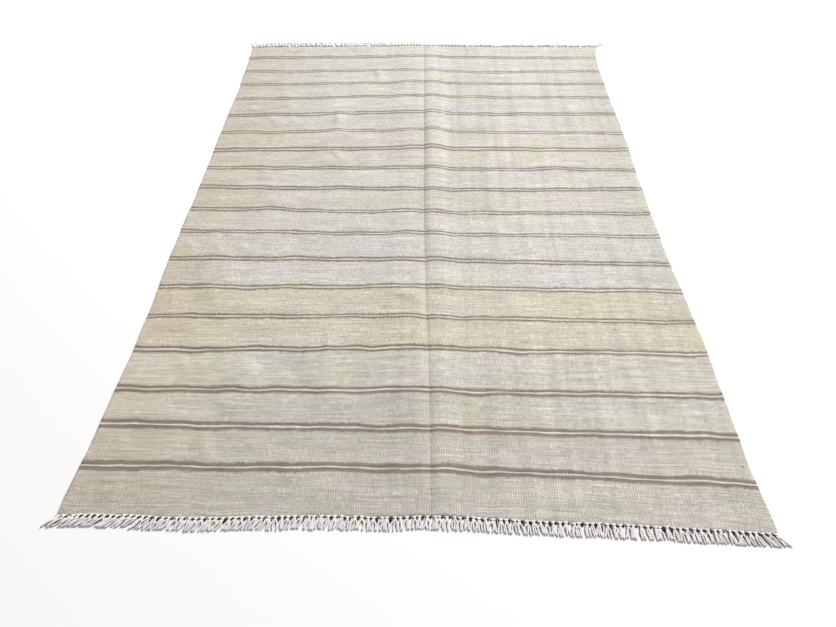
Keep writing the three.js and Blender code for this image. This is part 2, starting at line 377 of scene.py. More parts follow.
def woven_places(across, along):
    """For each point, its place among the pairs (0 on the first pair's line, 1 on the next) and
    how many millimetres one such step is there, both worked out between two pairs' lines. Past
    the first and the last pair the step next to them goes on."""
    last = len(PAIRS["place"]) - 1
    lines = [pair_line(number, across) for number in range(last + 1)]
    place = np.zeros_like(along)
    step = np.full_like(along, PAIR_STEP)
    for number in range(last):
        gap = lines[number] - lines[number + 1]
        inside = (lines[number] - along) / gap
        low = -9 if number == 0 else 0
        high = 9 if number == last - 1 else 1
        place = place + np.clip(inside, low, high)
        step = np.where((inside >= low) & (inside < high), gap, step)
    return place, step


def linear(code):
    """An sRGB hex colour as linear red, green and blue."""
    part = np.array([int(code[i : i + 2], 16) for i in (0, 2, 4)]) / 255
    return np.where(part <= 0.04045, part / 12.92, ((part + 0.055) / 1.055) ** 2.4)


def surface(name, points, faces, fields, uv=None):
    """A mesh object in metres from whole arrays: points in millimetres, four-sided faces as
    point numbers, named fields of three numbers a point, and a UV place for each point."""
    mesh = bpy.data.meshes.new(name)
    mesh.vertices.add(len(points))
    mesh.vertices.foreach_set("co", (points * MM).astype(np.float32).ravel())
    mesh.loops.add(faces.size)
    mesh.loops.foreach_set("vertex_index", faces.astype(np.int32).ravel())
    mesh.polygons.add(len(faces))
    mesh.polygons.foreach_set("loop_start", np.arange(0, faces.size, 4, dtype=np.int32))
    mesh.polygons.foreach_set("use_smooth", np.ones(len(faces), bool))
    mesh.update(calc_edges=True)
    if uv is not None:
        layer = mesh.uv_layers.new(name="weave")
        layer.data.foreach_set("uv", uv[faces.ravel()].astype(np.float32).ravel())
    for field, values in fields.items():
        made = mesh.attributes.new(field, "FLOAT_VECTOR", "POINT")
        made.data.foreach_set("vector", values.astype(np.float32).ravel())
    mesh.validate()
    piece = bpy.data.objects.new(name, mesh)
    bpy.context.scene.collection.objects.link(piece)
    return piece


def rounded(distance, over):
    """A rim's share of the full thickness: a quarter circle over the rounding, never under a
    fifth."""
    t = np.clip(distance / over, 0, 1)
    return np.maximum(np.sqrt(1 - (1 - t) ** 2), 0.2)


def sheet_faces(rows, columns):
    """Faces of a closed sheet: the upper grid, the lower grid turned over, and four rims."""
    number = np.arange(rows * columns).reshape(rows, columns)
    under = number + rows * columns
    a, b, c, d = number[:-1, :-1], number[:-1, 1:], number[1:, 1:], number[1:, :-1]
    upper = np.stack([a, b, c, d], -1).reshape(-1, 4)
    lower = upper[:, ::-1] + rows * columns

    def rim(line, line_under):
        return np.stack([line[:-1], line[1:], line_under[1:], line_under[:-1]], -1)

    rims = [
        rim(number[:, 0], under[:, 0]),
        rim(number[::-1, -1], under[::-1, -1]),
        rim(number[0, ::-1], under[0, ::-1]),
        rim(number[-1, :], under[-1, :]),
    ]
    return np.concatenate([upper, lower, *rims])


grid_across, grid_along = cloth_grid()
grid_rows, grid_columns = grid_across.shape
grid_lift = cloth_lift(grid_across, grid_along)
side_distance = np.minimum(grid_across - grid_across[:, :1], grid_across[:, -1:] - grid_across)
end_distance = np.minimum(grid_along - grid_along[:1], grid_along[-1:] - grid_along)
grid_thickness = (
    CLOTH_THICKNESS * rounded(side_distance, EDGE_ROUNDING) * rounded(end_distance, END_ROUNDING)
)

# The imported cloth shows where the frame's origin lies from the middle that the tables count from.
cloth_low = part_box("rug_cloth")[0]
ORIGIN = np.array(
    [
        cloth_low[0] / MM - min(SIDES["left"]),
        cloth_low[1] / MM - on_curve(NEAR_END, "across", "along", np.array([SIDES["right"][0]]))[0],
        0.0,
    ]
)

upper_points = np.stack([grid_across, grid_along, grid_lift + grid_thickness], -1)
lower_points = np.stack([grid_across, grid_along, grid_lift], -1)
cloth_points = np.concatenate([upper_points.reshape(-1, 3), lower_points.reshape(-1, 3)])

pair_place, pair_step = woven_places(grid_across, grid_along)
nearest = np.clip(np.rint(pair_place), 0, len(PAIRS["place"]) - 1).astype(int)
from_valley = grid_across - on_curve(FOLD, "along", "valley_at", grid_along)
weft_field = np.stack([pair_place, pair_step * MM, from_valley * MM], -1).reshape(-1, 3)
share = on_curve(LINE_SHARE, "across", "share", grid_across) * MM
line_field = np.stack(
    [
        np.array(PAIRS["far_line"])[nearest] * share,
        np.array(PAIRS["gap"])[nearest] * MM,
        np.array(PAIRS["near_line"])[nearest] * share,
    ],
    -1,
).reshape(-1, 3)

# The ground changes its lot in the middle of a pair.
band = np.clip(np.floor(pair_place + 1), 0, len(BANDS) - 1).astype(int)
shades = np.array([linear(WOOL[lot]) for lot in BANDS])
left_edge_share = 0.5 - 0.5 * np.tanh((grid_across - LEFT_EDGE_TINT["at"]) / LEFT_EDGE_TINT["over"])[..., None]
ground_field = shades[band] * (1 - left_edge_share + left_edge_share * np.array(LEFT_EDGE_TINT["shade"]))
for x, y, wide, long, light in WASHES:
    oval = np.exp(-(((grid_across - x) / wide) ** 2) - ((grid_along - y) / long) ** 2)
    ground_field = ground_field * (1 - (1 - light) * oval)[..., None]
ground_field = ground_field.reshape(-1, 3)

weave_uv = np.stack([grid_across, -pair_place * PAIR_STEP], -1).reshape(-1, 2) * MM
mark_place, _ = woven_places(*np.array(MARKS)[:, :2].T)
cloth = surface(
    "cloth",
    cloth_points + ORIGIN,
    sheet_faces(grid_rows, grid_columns),
    fields={
        "weft": np.tile(weft_field, (2, 1)),
        "lines": np.tile(line_field, (2, 1)),
        "ground": np.tile(ground_field, (2, 1)),
    },
    uv=np.tile(weave_uv, (2, 1)),
)

# Hand-spun wool weft beaten down over cotton warps: matt, ribbed along the rug at each warp and
# streaked across it by thick and thin yarn, with comb teeth where two colours of weft meet.
WARP_PITCH = 3.1 * MM
PICK_PITCH = 2.8 * MM
RIB_HEIGHT = 0.4 * MM
PICK_HEIGHT = 0.16 * MM
SLUB_HEIGHT = 0.25 * MM
TOOTH = 2.4 * MM
JAG = 1.6 * MM
LINE_WANDER = 3.6 * MM
LINE_SOFTNESS = 0.6 * MM
VALLEY_WIDTH = 3.6 * MM
BEAD_SHADE = 0.12
DOT_SHADE = 0.7
BROWN_WARM = "8A7E72"
BROWN_COOL = "8E867B"
GAP_CREAM = "DED0C5"

# The noise that a pair's lines wander with: its cells in a metre, and in the step between pairs.
WANDER_CELLS = 11.0
PAIR_APART = 7.31


def node(tree, kind, inputs=None, **settings):
    """Adds one shader node: settings are its own properties, and inputs gives a socket's number
    or name a value, or the output that it is linked to. A node stands for its first output."""
    made = tree.nodes.new("ShaderNode" + kind)
    for name, value in settings.items():
        setattr(made, name, value)
    for socket, value in (inputs or {}).items():
        if isinstance(value, bpy.types.Node):
            value = value.outputs[0]
        if isinstance(value, bpy.types.NodeSocket):
            tree.links.new(value, made.inputs[socket])
        else:
            made.inputs[socket].default_value = value
    return made


def flat_weave():
    """The cloth's material."""
    material = bpy.data.materials.new("undyed_wool_flat_weave")
    material.use_nodes = True
    tree = material.node_tree
    tree.nodes.clear()

    # Places on the cloth: metres across, metres along, the place among the pairs, the step
    # between two pairs in metres, and metres from the fold's valley.
    weave = node(tree, "UVMap", uv_map="weave")
    split = node(tree, "SeparateXYZ", {0: weave})
    across, along = split.outputs[:2]
    weft = node(tree, "Attribute", attribute_name="weft").outputs["Vector"]
    weft = node(tree, "SeparateXYZ", {0: weft})
    place, step, valley = weft.outputs
    lines = node(tree, "Attribute", attribute_name="lines").outputs["Vector"]
    lines = node(tree, "SeparateXYZ", {0: lines})
    far_line, gap, near_line = lines.outputs
    ground = node(tree, "Attribute", attribute_name="ground").outputs["Color"]

    # Distance from the nearest pair's middle, with a slow wander, and the comb's teeth.
    number = node(tree, "Math", {0: place}, operation="ROUND")
    number = node(tree, "Math", {0: number, 1: 0.0}, operation="MAXIMUM")
    last_pair = len(PAIRS["place"]) - 1.0
    number = node(tree, "Math", {0: number, 1: last_pair}, operation="MINIMUM")
    behind = node(tree, "Math", {0: number, 1: place}, operation="SUBTRACT")
    distance = node(tree, "Math", {0: behind, 1: step}, operation="MULTIPLY")
    own = node(tree, "Math", {0: number, 1: PAIR_APART}, operation="MULTIPLY")
    slow = node(tree, "Math", {0: across, 1: WANDER_CELLS}, operation="MULTIPLY")
    pair_point = node(tree, "CombineXYZ", {0: slow, 1: own})
    wander = node(tree, "TexNoise", {"Vector": pair_point, "Scale": 1.0, "Detail": 4.0})
    shift = node(tree, "MapRange", {0: wander, 1: 0.2, 2: 0.8, 3: -LINE_WANDER, 4: LINE_WANDER})
    warp_turn = node(tree, "Math", {0: across, 1: math.pi / WARP_PITCH}, operation="MULTIPLY")
    warp_side = node(tree, "Math", {0: warp_turn}, operation="SINE")
    tooth = node(tree, "Math", {0: warp_side, 1: TOOTH}, operation="MULTIPLY")
    tooth_number = node(tree, "Math", {0: across, 1: 0.5 / WARP_PITCH}, operation="MULTIPLY")
    tooth_number = node(tree, "Math", {0: tooth_number}, operation="FLOOR")
    tooth_point = node(tree, "CombineXYZ", {0: tooth_number, 1: own})
    jag = node(tree, "TexWhiteNoise", {0: tooth_point}, noise_dimensions="2D")
    jag = node(tree, "MapRange", {0: jag, 3: -JAG, 4: JAG})
    teeth = node(tree, "Math", {0: tooth, 1: jag})
    distance = node(tree, "Math", {0: distance, 1: shift})

    # The two lines of a pair, each a little thicker and thinner along its length. The gap between
    # them is beaten down crisp, and the teeth stand on their outer edges.
    swell = node(
        tree, "TexNoise", {"Vector": pair_point, "Scale": 0.7, "Detail": 3.0, "Distortion": 0.5}
    )
    swell = node(tree, "MapRange", {0: swell, 1: 0.25, 2: 0.75, 3: 0.84, 4: 1.16})
    opening = node(
        tree,
        "TexNoise",
        {"Vector": pair_point, "Scale": 0.9, "Detail": 1.0, "W": 3.0},
        noise_dimensions="4D",
    )
    opening = node(tree, "MapRange", {0: opening, 1: 0.25, 2: 0.75, 3: 0.25, 4: 0.75})
    half_gap = node(tree, "Math", {0: gap, 1: opening}, operation="MULTIPLY")
    masks = []
    for width, side in ((far_line, 1.0), (near_line, -1.0)):
        signed = node(tree, "Math", {0: distance, 1: side}, operation="MULTIPLY")
        into = node(tree, "Math", {0: signed, 1: half_gap}, operation="SUBTRACT")
        reach = node(tree, "Math", {0: width, 1: swell, 2: teeth}, operation="MULTIPLY_ADD")
        to_edge = node(tree, "Math", {0: reach, 1: into}, operation="SUBTRACT")
        inside = node(tree, "Math", {0: into, 1: to_edge}, operation="MINIMUM")
        masks.append(
            node(
                tree,
                "MapRange",
                {0: inside, 1: -0.5 * LINE_SOFTNESS, 2: 0.5 * LINE_SOFTNESS},
                interpolation_type="SMOOTHSTEP",
            )
        )
    brown_mask = node(tree, "Math", {0: masks[0], 1: masks[1]}, operation="MAXIMUM")
    from_middle = node(tree, "Math", {0: distance}, operation="ABSOLUTE")
    gap_mask = node(tree, "Math", {0: from_middle, 1: half_gap}, operation="LESS_THAN")

    # Yarn, as noise that is so many cells a metre across and along: long streaks and shorter
    # slubs, drawn twice as thick as the real yarn so that they show, knobs between two warps,
    # single ribs, lots of wool, soft patches, the places where the crossings show as dots, and
    # the lengthways bands of warps that stand closer or wider, which show on the right half.
    grains = {
        "streaks": (7.0, 230.0, 2.0),
        "slubs": (32.0, 330.0, 2.0),
        "knobs": (200.0, 320.0, 1.0),
        "ribs": (360.0, 45.0, 1.0),
        "lots": (1.8, 26.0, 3.0),
        "patches": (2.8, 8.0, 2.0),
        "dots": (22.0, 60.0, 1.0),
        "bands": (30.0, 1.2, 2.0),
        "valley_shade_depth": (3.0, 45.0, 2.0),
    }
    yarn = {}
    for grain, (cells_across, cells_along, detail) in grains.items():
        point = node(
            tree, "VectorMath", {0: weave, 1: (cells_across, cells_along, 1.0)}, operation="MULTIPLY"
        )
        yarn[grain] = node(tree, "TexNoise", {"Vector": point, "Scale": 1.0, "Detail": detail})

    # Ribs over the warps, and picks that pass over every second warp. The picks are drawn twice
    # as coarse as the real yarn so that they show, and each crossing is a bead of its own shade.
    rib = node(tree, "Math", {0: warp_turn}, operation="COSINE")
    rib = node(tree, "Math", {0: rib}, operation="ABSOLUTE")
    rib = node(tree, "Math", {0: rib, 1: 0.6}, operation="POWER")
    warp_number = node(tree, "Math", {0: across, 1: 1 / WARP_PITCH, 2: 0.5}, operation="MULTIPLY_ADD")
    warp_number = node(tree, "Math", {0: warp_number}, operation="FLOOR")
    half_turn = node(tree, "Math", {0: warp_number, 1: 0.5 * math.pi}, operation="MULTIPLY")
    pick_turn = node(
        tree, "Math", {0: along, 1: math.pi / PICK_PITCH, 2: half_turn}, operation="MULTIPLY_ADD"
    )
    pick = node(tree, "Math", {0: pick_turn}, operation="SINE")
    pick = node(tree, "Math", {0: pick}, operation="ABSOLUTE")
    pick_number = node(tree, "Math", {0: pick_turn, 1: 1 / math.pi}, operation="MULTIPLY")
    pick_number = node(tree, "Math", {0: pick_number}, operation="FLOOR")
    bead_point = node(tree, "CombineXYZ", {0: warp_number, 1: pick_number})
    bead = node(tree, "TexWhiteNoise", {0: bead_point}, noise_dimensions="2D")

    # Colour: the ground's shade, cleaner wool in the gap of a pair, the brown of its lines, and painted
    # shade in the grooves between the crowns of the ribs and picks, with a slight painted highlight on
    # the crowns.
    tint = node(tree, "ValToRGB", {0: yarn["patches"]})
    tint.color_ramp.elements[0].position = 0.3
    tint.color_ramp.elements[0].color = (0.983, 1.0, 0.91, 1)
    tint.color_ramp.elements[1].position = 0.7
    tint.color_ramp.elements[1].color = (1.025, 0.985, 1.06, 1)
    ground = node(
        tree, "Mix", {0: 1.0, 6: ground, 7: tint}, data_type="RGBA", blend_type="MULTIPLY"
    ).outputs[2]
    cream = node(tree, "MapRange", {0: number, 2: last_pair, 3: 0.25, 4: 0.9})
    cream = node(tree, "Math", {0: gap_mask, 1: cream}, operation="MULTIPLY")
    ground = node(
        tree, "Mix", {0: cream, 6: ground, 7: (*linear(GAP_CREAM), 1)}, data_type="RGBA"
    ).outputs[2]
    warm = node(tree, "MapRange", {0: across, 1: -0.4, 2: 0.5, 3: 0.6, 4: -0.05})
    warm = node(tree, "Math", {0: wander, 1: 0.5, 2: warm}, operation="MULTIPLY_ADD")
    brown = node(
        tree,
        "Mix",
        {0: warm, 6: (*linear(BROWN_COOL), 1), 7: (*linear(BROWN_WARM), 1)},
        data_type="RGBA",
    ).outputs[2]
    colour = node(tree, "Mix", {0: brown_mask, 6: ground, 7: brown}, data_type="RGBA").outputs[2]
    # Painted shade in the grooves and a slight painted highlight on the crowns.
    crown_light = node(tree, "Math", {0: rib, 1: pick}, operation="MULTIPLY")
    crown_light = node(tree, "MapRange", {0: crown_light, 3: 0.8, 4: 1.12})
    bead = node(tree, "MapRange", {0: bead, 3: 1 - BEAD_SHADE, 4: 1 + BEAD_SHADE})
    shade = node(tree, "Math", {0: crown_light, 1: bead}, operation="MULTIPLY")

    # The crossings also show as rows of light and dark dots: most of all in patches towards the
    # near end, and everywhere a little in the stripes. A dot covers two warps.
    pick_side = node(tree, "Math", {0: along, 1: math.pi / PICK_PITCH}, operation="MULTIPLY")
    pick_side = node(tree, "Math", {0: pick_side}, operation="SINE")
    pick_side = node(tree, "Math", {0: pick_side, 1: 0.6, 2: 0.4}, operation="MULTIPLY_ADD")
    dot = node(tree, "Math", {0: warp_side, 1: pick_side}, operation="MULTIPLY")
    most = node(tree, "MapRange", {0: number, 1: 10.0, 2: last_pair, 3: 0.08, 4: DOT_SHADE})
    shown = node(tree, "MapRange", {0: yarn["dots"], 1: 0.36, 2: 0.66, 3: 0.02, 4: most})
    shown = node(tree, "Math", {0: brown_mask, 1: 0.2, 2: shown}, operation="MULTIPLY_ADD")
    dot = node(tree, "Math", {0: dot, 1: shown, 2: 1.0}, operation="MULTIPLY_ADD")
    shade = node(tree, "Math", {0: shade, 1: dot}, operation="MULTIPLY")

    # The yarn's own shades, and painted shade along the valley of the fold, deeper in patches.
    strengths = {
        "streaks": 0.24, "slubs": 0.18, "knobs": 0.16, "ribs": 0.15, "lots": 0.09, "bands": 0.1
    }
    for grain, strength in strengths.items():
        part = node(
            tree, "MapRange", {0: yarn[grain], 1: 0.25, 2: 0.75, 3: 1 - strength, 4: 1 + strength}
        )
        if grain == "bands":
            right_half = node(tree, "MapRange", {0: across, 1: -0.25, 2: 0.15, 3: 0.3, 4: 1.0})
            part = node(tree, "Mix", {0: right_half, 2: 1.0, 3: part}, data_type="FLOAT")
        shade = node(tree, "Math", {0: shade, 1: part}, operation="MULTIPLY")
    # Painted shade in the fold's valley, from 8 to 40 percent darker in patches.
    off_valley = node(tree, "Math", {0: valley}, operation="ABSOLUTE")
    valley_shade_depth = node(tree, "MapRange", {0: yarn["valley_shade_depth"], 1: 0.35, 2: 0.65, 3: 0.92, 4: 0.6})
    valley_shade = node(
        tree,
        "MapRange",
        {0: off_valley, 1: 0.0, 2: VALLEY_WIDTH, 3: valley_shade_depth, 4: 1.0},
        interpolation_type="SMOOTHSTEP",
    )
    shade = node(tree, "Math", {0: shade, 1: valley_shade}, operation="MULTIPLY")
    for (x, _, radius, light), its_place in zip(MARKS, mark_place):
        middle = (x * MM, -float(its_place) * PAIR_STEP * MM, 0.0)
        away = node(tree, "VectorMath", {0: weave, 1: middle}, operation="DISTANCE").outputs["Value"]
        rim = radius * MM
        spot = node(tree, "MapRange", {0: away, 1: 0.6 * rim, 2: rim, 3: light, 4: 1.0})
        shade = node(tree, "Math", {0: shade, 1: spot}, operation="MULTIPLY")
    colour = node(tree, "VectorMath", {0: colour, 1: shade}, operation="MULTIPLY")

    # Relief in metres.
    height = node(tree, "Math", {0: rib, 1: RIB_HEIGHT}, operation="MULTIPLY")
    for value, tall in ((pick, PICK_HEIGHT), (yarn["slubs"], SLUB_HEIGHT)):
        height = node(tree, "Math", {0: value, 1: tall, 2: height}, operation="MULTIPLY_ADD")
    bump = node(tree, "Bump", {"Strength": 0.9, "Distance": 1.0, "Height": height})
    shader = node(
        tree,
        "BsdfPrincipled",
        {
            "Base Color": colour,
            "Roughness": 0.92,
            "Specular IOR Level": 0.25,
            "Sheen Weight": 0.12,
            "Sheen Roughness": 0.6,
            "Normal": bump,
        },
    )
    node(tree, "OutputMaterial", {0: shader})
    return material


cloth.data.materials.append(flat_weave())
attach(cloth, "root")
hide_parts("rug_cloth")

# Knotted fringes
# The cotton warp ends, left long when the rug is cut from the loom. Each bundle of six is tied
# in a knot against the woven end, and past the knot it lies on the floor as three plied cords.

KNOT_COUNT = 109
WARPS_IN_KNOT = 6
CORDS_IN_KNOT = 3
KNOT_START = 0.8
KNOT_LENGTH = 7.5
KNOT_RADIUS = 4.2
KNOT_MIDDLE = 3.6
KNOT_SIDES = 8
KNOT_STEPS = 6
CORD_RADIUS = 2.8
CORD_FLATNESS = 0.7
CORD_REACH = {"near": 29.5, "far": 44.0}
CORD_SIDES = 6
CORD_STEPS = 9
CORDS_CLOSE = 1.5
CORDS_APART = 5.3
WARP_RADIUS = 1.35
WARP_SIDES = 4
WARP_STEPS = 4
# Size of the short strands painted almost black that stand for shade in the gaps between the knots.
GAP_SHADE_RADIUS = 3.3
GAP_SHADE_LENGTH = 4.5

# How unevenly the knots are tied: aside, outwards, and in degrees of lean.
KNOT_ASIDE = 1.8
KNOT_OUT = 0.7
LEAN_SPREAD = 5

# How each kind of strand is laid: how many turns of yarn stand side by side around it, and how
# many times they go round it in a metre.
KNOT_LAY = (3, 80)
CORD_LAY = (2, 120)
WARP_LAY = (2, 180)

# Which way the bundles lean, in degrees towards +X, from left to right.
LEAN = {
    "across": [-900, -840, -760, -660, -590, -520, -420, -320, -230, -60, 100, 240, 420, 640, 760,
               840, 900],
    "near": [-46, -44, -42, -38, -22, -16, -24, -10, -16, -5, -3, 8, -4, 10, 16, 27, 40],
    "far": [-14, -20, -24, -26, -25, -20, -16, -12, -9, -2, 6, 10, 18, 28, 26, 36, 50],
}


def strands(paths, radii, sides, lay, tint, flatness=1.0):
    """Round strands along many paths at once: a ring of points around each step of a path, its
    side the path's direction crossed with up. Both ends are closed. Each point keeps the cosine
    and sine of its angle and its run along the strand, and the strand's lay and tint."""
    count, steps, _ = paths.shape
    forward = np.gradient(paths, axis=1)
    forward /= np.linalg.norm(forward, axis=2, keepdims=True)
    side = np.cross(forward, [0, 0, 1])
    side /= np.linalg.norm(side, axis=2, keepdims=True)
    up = np.cross(side, forward) * flatness
    length = np.linalg.norm(np.diff(paths, axis=1), axis=2)
    run = np.concatenate([np.zeros((count, 1)), np.cumsum(length, axis=1)], axis=1) * MM
    angle = np.arange(sides) * 2 * math.pi / sides
    ring = np.cos(angle)[:, None] * side[:, :, None] + np.sin(angle)[:, None] * up[:, :, None]
    points = (paths[:, :, None] + radii[..., None, None] * ring).reshape(-1, 3)
    number = np.arange(count * steps * sides).reshape(count, steps, sides)
    turned = np.roll(number, -1, axis=2)
    walls = np.stack([number[:, :-1], number[:, 1:], turned[:, 1:], turned[:, :-1]], -1)
    i = np.arange(sides // 2 - 1)
    cap = np.stack([i, i + 1, sides - 2 - i, sides - 1 - i], -1)
    starts = number[:, 0][:, cap]
    stops = number[:, -1][:, cap[:, ::-1]]
    faces = np.concatenate([part.reshape(-1, 4) for part in (walls, starts, stops)])
    turn = np.broadcast_arrays(np.cos(angle), np.sin(angle), run[..., None])
    strand = np.broadcast_arrays(lay[0], lay[1], tint[:, None, None] + 0 * turn[2])
    fields = [np.stack(field, -1).reshape(-1, 3) for field in (turn, strand)]
    return points, faces, *fields


def fringe(end):
    """One end's fringe in millimetres: warps that gather, knots, and plied cords."""
    outward = -1 if end == "near" else 1
    woven_end = NEAR_END if end == "near" else FAR_END
    random = np.random.default_rng(SEED + (5 if end == "near" else 6))
    nominal = np.array([outward * 0.5 * CLOTH_LENGTH])
    left = on_curve(SIDES, "along", "left", nominal)[0]
    right = on_curve(SIDES, "along", "right", nominal)[0]
    pitch = (right - left) / KNOT_COUNT
    root_x = left + (np.arange(KNOT_COUNT) + 0.5) * pitch
    root_x = root_x + random.normal(0, KNOT_ASIDE, KNOT_COUNT)
    root_y = on_curve(woven_end, "across", "along", root_x)
    root_y = root_y + random.normal(0, KNOT_OUT, KNOT_COUNT)
    root = np.stack([root_x, root_y, np.zeros(KNOT_COUNT)], -1)
    lean = on_curve(LEAN, "across", end, root_x) + random.normal(0, LEAN_SPREAD, KNOT_COUNT)
    lean = np.radians(lean)
    knot_lean = 0.35 * lean + random.normal(0, 0.1, KNOT_COUNT)
    knot_way = np.stack([np.sin(knot_lean), outward * np.cos(knot_lean), 0 * lean], -1)
    tint = random.uniform(0, 1, KNOT_COUNT)
    parts = []

    # Warps leave the cloth side by side, run straight on for a little and close up at the knot,
    # by the square of the way gone.
    t = np.linspace(0, 1, WARP_STEPS)[:, None]
    spread = (np.arange(WARPS_IN_KNOT) + 0.5) / WARPS_IN_KNOT - 0.5
    flat = 0 * spread
    start = root[:, None] + np.stack([spread * pitch, flat - 2.0 * outward, flat + 1.5], -1)
    stop = (root + knot_way * (KNOT_START + 3.0))[:, None]
    stop = stop + np.stack([0.2 * spread * pitch, flat, flat + 3.0], -1)
    way = (stop - start)[:, :, None]
    paths = start[:, :, None] + np.concatenate([t**2 * way[..., :1], t * way[..., 1:]], -1)
    paths = paths.reshape(-1, WARP_STEPS, 3)
    radii = np.full(paths.shape[:2], WARP_RADIUS)
    # Tints are lifted by 2 at the far end, where the material paints only slight shade; a near warp
    # whose tint falls under -0.6 is painted darker, as shade between the knots.
    tint_lift = 0.0 if end == "near" else 2.0
    warp_tint = tint_lift + random.uniform(-0.85, 1, len(paths))
    parts.append(strands(paths, radii, WARP_SIDES, WARP_LAY, warp_tint))

    # Knots: short and plump, as thick as the square root of a sine along them, a little flat.
    t = np.linspace(0, 1, KNOT_STEPS)
    size = random.uniform(0.9, 1.1, (KNOT_COUNT, 1))
    paths = root[:, None] + knot_way[:, None] * (KNOT_START + KNOT_LENGTH * t)[:, None]
    paths[..., 2] = KNOT_MIDDLE
    radii = KNOT_RADIUS * size * np.sqrt(np.maximum(np.sin(math.pi * t), 0.12))
    parts.append(strands(paths, radii, KNOT_SIDES, KNOT_LAY, tint_lift + tint, 0.85))

    # Cords: they leave the knot close together, part within a centimetre, swing over to the
    # bundle's lean, and sink to the floor, each with a bend of its own. Their ends were cut
    # along one line.
    fan = np.arange(CORDS_IN_KNOT) - 0.5 * (CORDS_IN_KNOT - 1)
    shape = (KNOT_COUNT, CORDS_IN_KNOT)
    t = np.linspace(0, 1, CORD_STEPS)
    slow = 1 + 0.05 * unevenness(root_x, 150, 8)
    cut = (CORD_REACH[end] * slow * np.cos(lean) ** 0.4)[:, None] + random.normal(0, 0.7, shape)
    final = lean[:, None] + np.radians(4) * fan + random.normal(0, 0.09, shape)
    bend = random.normal(0, 0.16, shape)
    swing = 1 - np.exp(-((t * 5) ** 1.5))
    heading = knot_lean[:, None, None] + (final - knot_lean[:, None])[..., None] * swing
    heading = heading + bend[..., None] * np.sin(1.6 * math.pi * t)
    run_x = np.cumsum(np.sin(heading), axis=-1) - np.sin(heading[..., :1])
    run_y = np.cumsum(np.cos(heading), axis=-1) - np.cos(heading[..., :1])
    stride = cut[..., None] / run_y[..., -1:]
    run_x = run_x * stride
    run_y = run_y * stride
    first = root + knot_way * (KNOT_START + 0.75 * KNOT_LENGTH)
    parted = np.clip((t * CORD_REACH[end] - 2) / 10, 0, 1)
    parted = parted * parted * (3 - 2 * parted)
    x = first[:, :1, None] + fan[:, None] * (CORDS_CLOSE + (CORDS_APART - CORDS_CLOSE) * parted)
    x = x + run_x
    y = first[:, 1:2, None] + outward * run_y
    rank = random.permuted(np.tile(np.arange(CORDS_IN_KNOT), (KNOT_COUNT, 1)), axis=1)
    crowded = (np.abs(np.sin(lean)) + 0.15)[:, None] * rank * 1.5
    sink = (KNOT_MIDDLE - CORD_RADIUS + 0.6 * rank)[..., None] * np.exp(-((t * 3.2) ** 2))
    z = 0.98 * CORD_RADIUS * CORD_FLATNESS + sink
    z = z + crowded[..., None] * np.sin(math.pi * np.minimum(t * 1.2, 1)) ** 0.7
    paths = np.stack([x, y, z], -1).reshape(-1, CORD_STEPS, 3)
    thick = CORD_RADIUS * random.uniform(0.88, 1.06, (len(paths), 1))
    radii = thick * np.minimum(1, 0.5 + 4 * (1 - t))
    own_tint = np.repeat(tint, CORDS_IN_KNOT) + random.normal(0, 0.2, len(paths))
    cords = strands(paths, radii, CORD_SIDES, CORD_LAY, tint_lift + own_tint, CORD_FLATNESS)

    # The cut ends get no painted shade: every point of the last two rings counts as a top.
    cords[2].reshape(-1, CORD_STEPS, CORD_SIDES, 3)[:, -2:, :, 1] = 1
    parts.append(cords)

    # Short dark strands lie flat under the cords in the gaps between the knots: their tint of -1 paints
    # them almost black, as painted shade for the shadowed holes there.
    t = np.linspace(0, 1, WARP_STEPS)
    gap_x = root_x[:-1] + 0.5 * pitch
    gap_root = np.stack([gap_x, on_curve(woven_end, "across", "along", gap_x), 0 * gap_x], -1)
    gap_lean = 0.5 * (lean[:-1] + lean[1:])
    gap_way = np.stack([np.sin(gap_lean), outward * np.cos(gap_lean), 0 * gap_lean], -1)
    long = GAP_SHADE_LENGTH + np.minimum(random.gamma(0.6, 9.0, len(gap_x)), 15)
    paths = gap_root[:, None] + gap_way[:, None] * (1.5 + long[:, None] * t)[..., None]
    paths[..., 2] = 1.3
    size = random.uniform(0.45, 1.35, (len(gap_x), 1)) * (1.0 if end == "near" else 0.4)
    radii = GAP_SHADE_RADIUS * size * np.array([0.8, 1.0, 0.8, 0.4])
    parts.append(strands(paths, radii, CORD_SIDES, WARP_LAY, np.full(len(gap_x), -1.0), 0.3))

    points, faces, turn, strand = [[part[i] for part in parts] for i in range(4)]
    firsts = np.cumsum([0] + [len(group) for group in points])
    faces = np.concatenate([group + first for group, first in zip(faces, firsts)])
    points = np.concatenate(points)
    points[:, 2] = np.maximum(points[:, 2], 0.05)
    fields = {"turn": np.concatenate(turn), "strand": np.concatenate(strand)}
    return surface("fringe_" + end + "_yarn", points + ORIGIN, faces, fields)


# Undyed two-ply cotton: off-white and matt, with a hint of lilac. The eye sees the slant of its plies,
# painted shade in the grooves between them, and painted shade on the sides and undersides of the
# strands, deep at the near end where the cords lie against each other. A tint over 1.5 marks the far
# end's yarn, which gets only slight painted shade, and a tint under -0.6 paints a strand darker, down to
# almost black, as shade in the gaps between the knots.
PLY_HEIGHT = 0.35 * MM
FIBRE_HEIGHT = 0.2 * MM


